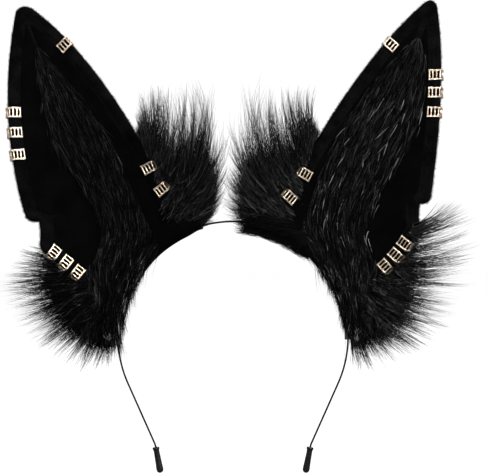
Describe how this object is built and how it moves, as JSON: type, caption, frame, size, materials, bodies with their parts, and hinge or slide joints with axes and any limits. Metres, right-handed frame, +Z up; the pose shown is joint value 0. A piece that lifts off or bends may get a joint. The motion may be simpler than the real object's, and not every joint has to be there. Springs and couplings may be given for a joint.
{
  "type": "animal ears headband",
  "caption": "Sprung wire headband with tall furry animal ears, long fur tufts and clip-on metal ear cuffs.",
  "frame": {"origin": "centre of the band's arc, where the middle of the wearer's head is", "axes": "the band lies in the XZ plane, +Z up to the crown, +X to the wearer's left, which is the viewer's right, and the ears face -Y"},
  "size_m": [0.2637, 0.0319, 0.2717],
  "materials": {
    "lacquered_wire": "satin black coated spring steel",
    "cap_rubber": "glossy black soft rubber",
    "short_plush": "black short pile plush",
    "velvet": "deep black velvet",
    "long_fur": "black long pile faux fur with grey guard hairs",
    "felt": "dark felt",
    "frame_steel": "bare wire",
    "champagne_metal": "polished champagne gold plate"
  },
  "bodies": {
    "crown": {"crown_wire": "lacquered_wire"},
    "left_band": {"left_band_wire": "lacquered_wire", "left_end_cap": "cap_rubber"},
    "left_ear": {"left_back_panel": "short_plush", "left_core": "felt", "left_frame_wire": "frame_steel", "left_outer_lining": "velvet", "left_inner_lining": "velvet", "left_centre_fur": "long_fur", "left_inner_tuft": "long_fur", "left_outer_tuft": "long_fur", "left_sleeve": "felt", "left_base_wrap": "velvet"},
    "left_tip_cuff": {"left_tip_cuff": "champagne_metal"},
    "left_outer_cuff_upper": {"left_outer_cuff_upper": "champagne_metal"},
    "left_outer_cuff_middle": {"left_outer_cuff_middle": "champagne_metal"},
    "left_outer_cuff_lower": {"left_outer_cuff_lower": "champagne_metal"},
    "left_inner_cuff_upper": {"left_inner_cuff_upper": "champagne_metal"},
    "left_inner_cuff_lower": {"left_inner_cuff_lower": "champagne_metal"},
    "left_lobe_cuff_upper": {"left_lobe_cuff_upper": "champagne_metal"},
    "left_lobe_cuff_middle": {"left_lobe_cuff_middle": "champagne_metal"},
    "left_lobe_cuff_lower": {"left_lobe_cuff_lower": "champagne_metal"},
    "right_band": {"right_band_wire": "lacquered_wire", "right_end_cap": "cap_rubber"},
    "right_ear": {"right_back_panel": "short_plush", "right_core": "felt", "right_frame_wire": "frame_steel", "right_outer_lining": "velvet", "right_inner_lining": "velvet", "right_centre_fur": "long_fur", "right_inner_tuft": "long_fur", "right_outer_tuft": "long_fur", "right_sleeve": "felt", "right_base_wrap": "velvet"},
    "right_tip_cuff": {"right_tip_cuff": "champagne_metal"},
    "right_outer_cuff_upper": {"right_outer_cuff_upper": "champagne_metal"},
    "right_outer_cuff_middle": {"right_outer_cuff_middle": "champagne_metal"},
    "right_outer_cuff_lower": {"right_outer_cuff_lower": "champagne_metal"},
    "right_inner_cuff_upper": {"right_inner_cuff_upper": "champagne_metal"},
    "right_inner_cuff_lower": {"right_inner_cuff_lower": "champagne_metal"},
    "right_lobe_cuff_upper": {"right_lobe_cuff_upper": "champagne_metal"},
    "right_lobe_cuff_middle": {"right_lobe_cuff_middle": "champagne_metal"},
    "right_lobe_cuff_lower": {"right_lobe_cuff_lower": "champagne_metal"}
  },
  "joints": [
    {"name": "left_band_flex", "type": "hinge", "parent": "crown", "child": "left_band", "pos_m": [-0.0069, 0, 0.06564], "axis": [0, 1, 0], "range_deg": [-3, 10], "stiffness_Nm_per_rad": 0.5},
    {"name": "left_ear_slide", "type": "hinge", "parent": "left_band", "child": "left_ear", "pos_m": [0, 0, 0], "axis": [0, -1, 0], "range_deg": [-2, 8]},
    {"name": "left_tip_cuff_slide", "type": "slide", "parent": "left_ear", "child": "left_tip_cuff", "axis": [-0.6894, 0.0413, 0.7232], "range_m": [-0.003, 0.003]},
    {"name": "left_outer_cuff_upper_slide", "type": "slide", "parent": "left_ear", "child": "left_outer_cuff_upper", "axis": [-0.0493, 0.1362, 0.9894], "range_m": [-0.002, 0.002]},
    {"name": "left_outer_cuff_middle_slide", "type": "slide", "parent": "left_ear", "child": "left_outer_cuff_middle", "axis": [-0.0973, 0.1332, 0.9863], "range_m": [-0.002, 0.002]},
    {"name": "left_outer_cuff_lower_slide", "type": "slide", "parent": "left_ear", "child": "left_outer_cuff_lower", "axis": [-0.1499, 0.1224, 0.9811], "range_m": [-0.002, 0.002]},
    {"name": "left_inner_cuff_upper_slide", "type": "slide", "parent": "left_ear", "child": "left_inner_cuff_upper", "axis": [-0.4497, 0.0273, 0.8928], "range_m": [-0.002, 0.002]},
    {"name": "left_inner_cuff_lower_slide", "type": "slide", "parent": "left_ear", "child": "left_inner_cuff_lower", "axis": [-0.5883, 0.0922, 0.8034], "range_m": [-0.002, 0.002]},
    {"name": "left_lobe_cuff_upper_slide", "type": "slide", "parent": "left_ear", "child": "left_lobe_cuff_upper", "axis": [-0.7346, -0.2473, 0.6318], "range_m": [-0.0012, 0.0012]},
    {"name": "left_lobe_cuff_middle_slide", "type": "slide", "parent": "left_ear", "child": "left_lobe_cuff_middle", "axis": [-0.7393, -0.2184, 0.6369], "range_m": [-0.0012, 0.0012]},
    {"name": "left_lobe_cuff_lower_slide", "type": "slide", "parent": "left_ear", "child": "left_lobe_cuff_lower", "axis": [-0.7431, -0.1914, 0.6412], "range_m": [-0.0012, 0.0012]},
    {"name": "right_band_flex", "type": "hinge", "parent": "crown", "child": "right_band", "pos_m": [0.0069, 0, 0.06564], "axis": [0, -1, 0], "range_deg": [-3, 10], "stiffness_Nm_per_rad": 0.5},
    {"name": "right_ear_slide", "type": "hinge", "parent": "right_band", "child": "right_ear", "pos_m": [0, 0, 0], "axis": [0, 1, 0], "range_deg": [-2, 8]},
    {"name": "right_tip_cuff_slide", "type": "slide", "parent": "right_ear", "child": "right_tip_cuff", "axis": [0.6556, 0.0304, 0.7545], "range_m": [-0.003, 0.003]},
    {"name": "right_outer_cuff_upper_slide", "type": "slide", "parent": "right_ear", "child": "right_outer_cuff_upper", "axis": [0.0141, 0.0925, 0.9956], "range_m": [-0.002, 0.002]},
    {"name": "right_outer_cuff_middle_slide", "type": "slide", "parent": "right_ear", "child": "right_outer_cuff_middle", "axis": [0.0411, 0.098, 0.9943], "range_m": [-0.002, 0.002]},
    {"name": "right_outer_cuff_lower_slide", "type": "slide", "parent": "right_ear", "child": "right_outer_cuff_lower", "axis": [0.0668, 0.1024, 0.9925], "range_m": [-0.002, 0.002]},
    {"name": "right_inner_cuff_upper_slide", "type": "slide", "parent": "right_ear", "child": "right_inner_cuff_upper", "axis": [0.4681, 0.0513, 0.8822], "range_m": [-0.002, 0.002]},
    {"name": "right_inner_cuff_lower_slide", "type": "slide", "parent": "right_ear", "child": "right_inner_cuff_lower", "axis": [0.6388, 0.1446, 0.7556], "range_m": [-0.002, 0.002]},
    {"name": "right_lobe_cuff_upper_slide", "type": "slide", "parent": "right_ear", "child": "right_lobe_cuff_upper", "axis": [0.5621, -0.1319, 0.8165], "range_m": [-0.0009, 0.0009]},
    {"name": "right_lobe_cuff_middle_slide", "type": "slide", "parent": "right_ear", "child": "right_lobe_cuff_middle", "axis": [0.6368, -0.1655, 0.7531], "range_m": [-0.0009, 0.0009]},
    {"name": "right_lobe_cuff_lower_slide", "type": "slide", "parent": "right_ear", "child": "right_lobe_cuff_lower", "axis": [0.697, -0.1801, 0.6941], "range_m": [-0.0009, 0.0009]}
  ]
}
